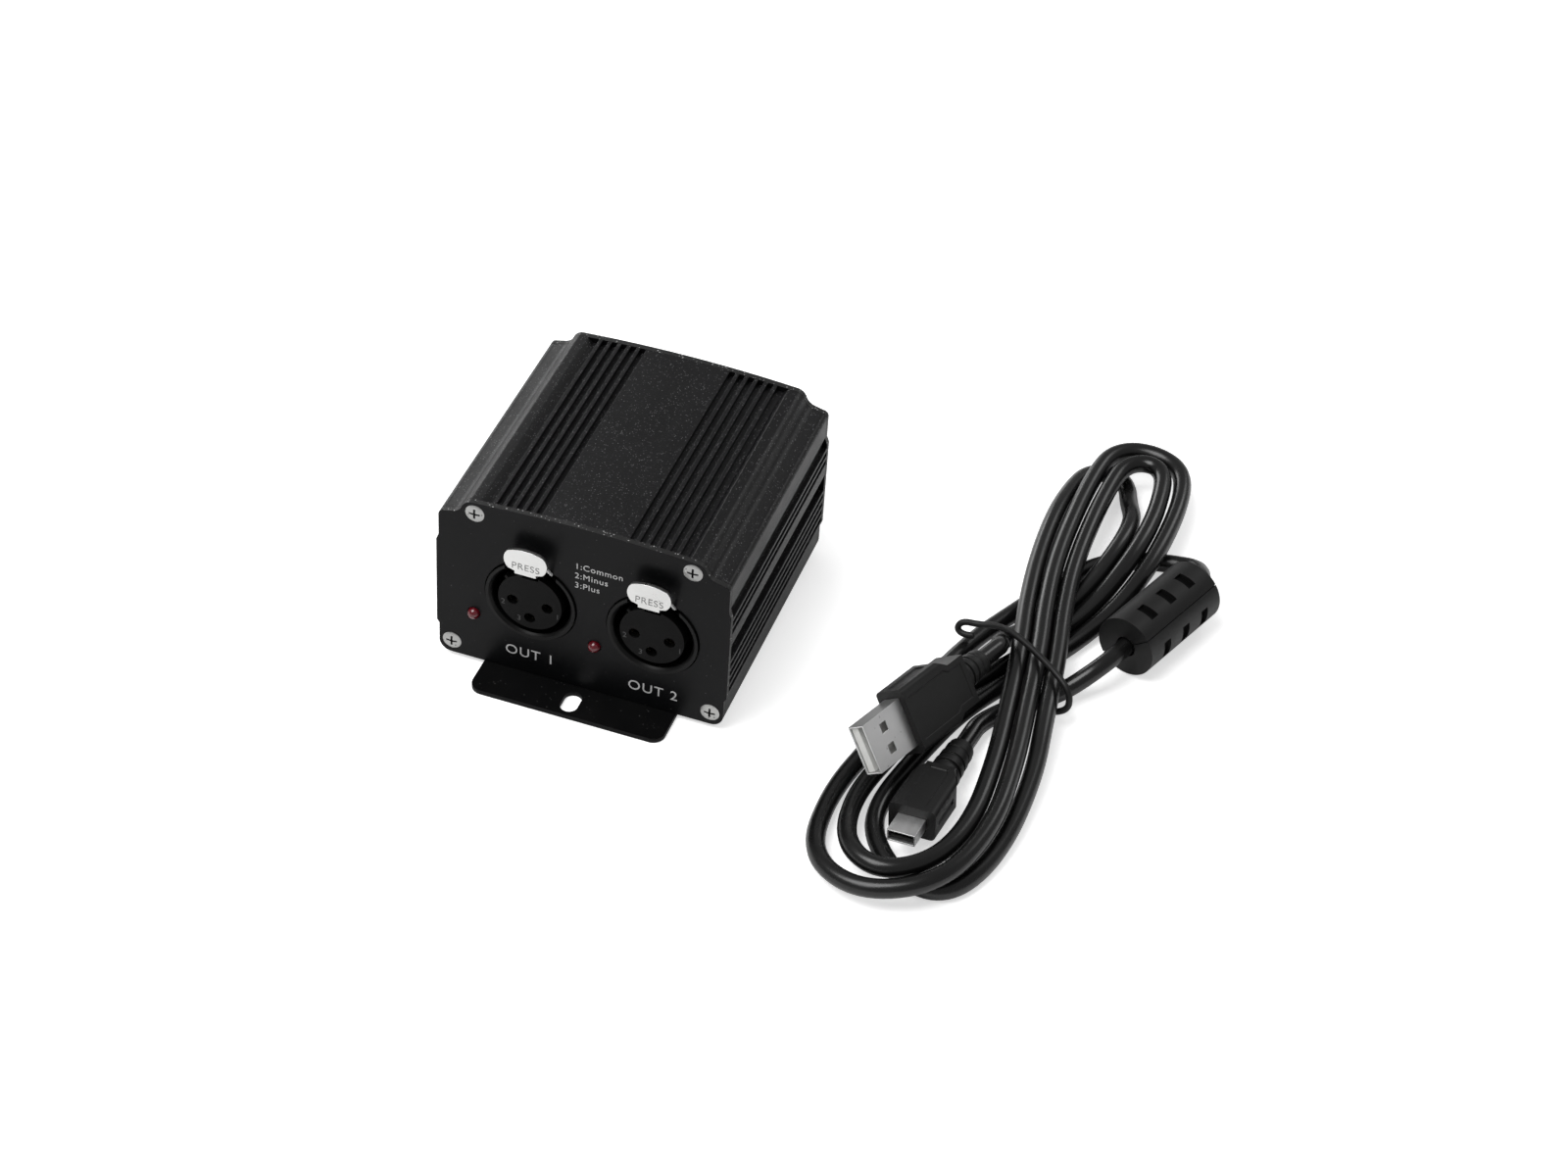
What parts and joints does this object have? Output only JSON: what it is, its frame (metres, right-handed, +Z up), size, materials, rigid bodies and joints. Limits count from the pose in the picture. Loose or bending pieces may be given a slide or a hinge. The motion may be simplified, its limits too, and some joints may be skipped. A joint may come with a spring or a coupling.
{
  "type": "usb dmx interface",
  "caption": "Black extruded box with 3-pole stage-lighting sockets with push latches, lamps, a mini USB socket, a slotted mounting bracket and a tied USB lead.",
  "frame": {"origin": "middle of the mounting bracket's underside", "axes": "+X to the right seen from the front, +Y from the front plate to the rear, +Z up"},
  "size_m": [0.1694, 0.1733, 0.0495],
  "materials": {
    "black_extrusion": "fine-textured black anodised aluminium",
    "black_plate": "satin black powder coat",
    "black_bracket": "satin black powder coat",
    "nickel_screws": "satin nickel plate",
    "black_screws": "black zinc plate",
    "board": "green solder mask",
    "socket_black": "moulded black plastic",
    "insert_black": "moulded dark plastic",
    "contact_metal": "plated copper alloy",
    "tab_nickel": "bright satin nickel",
    "pin_steel": "plain steel",
    "red_lens": "translucent red epoxy",
    "tin_wire": "tinned wire",
    "chip_black": "moulded black epoxy",
    "can_steel": "bright can",
    "shell_nickel": "nickel-plated sheet",
    "sleeve_black": "printed sleeve",
    "cord_black": "black flexible jacket",
    "mould_black": "black flexible mould",
    "ferrite_grey": "sintered ferrite",
    "tongue_white": "white tongue"
  },
  "bodies": {
    "box": {"housing_upper": "black_extrusion", "housing_lower": "black_extrusion", "front_plate": "black_plate", "rear_plate": "black_plate", "front_plate_screws": "nickel_screws", "rear_plate_screws": "nickel_screws", "mounting_bracket": "black_bracket", "bracket_screws": "black_screws", "circuit_board": "board", "lamp_leads": "tin_wire", "lamp_holders": "socket_black", "usb_jack_shell": "shell_nickel", "usb_jack_tongue": "socket_black", "usb_jack_contacts": "contact_metal", "controller_chip": "chip_black", "usb_bridge_chip": "chip_black", "line_drivers": "chip_black", "isolators": "chip_black", "crystal": "can_steel", "capacitors": "sleeve_black", "resistors": "chip_black", "cable_hank": "cord_black", "cable_device_lead": "cord_black", "host_plug_shell": "shell_nickel", "host_plug_tongue": "tongue_white", "host_plug_body": "mould_black", "device_plug_shell": "shell_nickel", "device_plug_tongue": "socket_black", "device_plug_body": "mould_black", "ferrite_core": "ferrite_grey", "ferrite_case_upper": "mould_black", "ferrite_case_lower": "mould_black", "cable_tie": "mould_black", "host_plug_relief": "mould_black", "device_plug_relief": "mould_black", "socket_a_housing": "socket_black", "socket_a_insert": "insert_black", "socket_a_contacts": "contact_metal", "latch_a_pin": "pin_steel", "lamp_a": "red_lens", "socket_b_housing": "socket_black", "socket_b_insert": "insert_black", "socket_b_contacts": "contact_metal", "latch_b_pin": "pin_steel", "lamp_b": "red_lens"},
    "latch_a": {"latch_a": "tab_nickel", "latch_a_spring": "pin_steel"},
    "latch_b": {"latch_b": "tab_nickel", "latch_b_spring": "pin_steel"}
  },
  "joints": [
    {"name": "latch_a_press", "type": "hinge", "parent": "box", "child": "latch_a", "pos_m": [-0.0125, -0.0306, 0.0348], "axis": [1, 0, 0], "range_deg": [0, 8], "stiffness_Nm_per_rad": 0.05, "springref_deg": -17.19},
    {"name": "latch_b_press", "type": "hinge", "parent": "box", "child": "latch_b", "pos_m": [0.0175, -0.0306, 0.0348], "axis": [1, 0, 0], "range_deg": [0, 8], "stiffness_Nm_per_rad": 0.05, "springref_deg": -17.19}
  ]
}
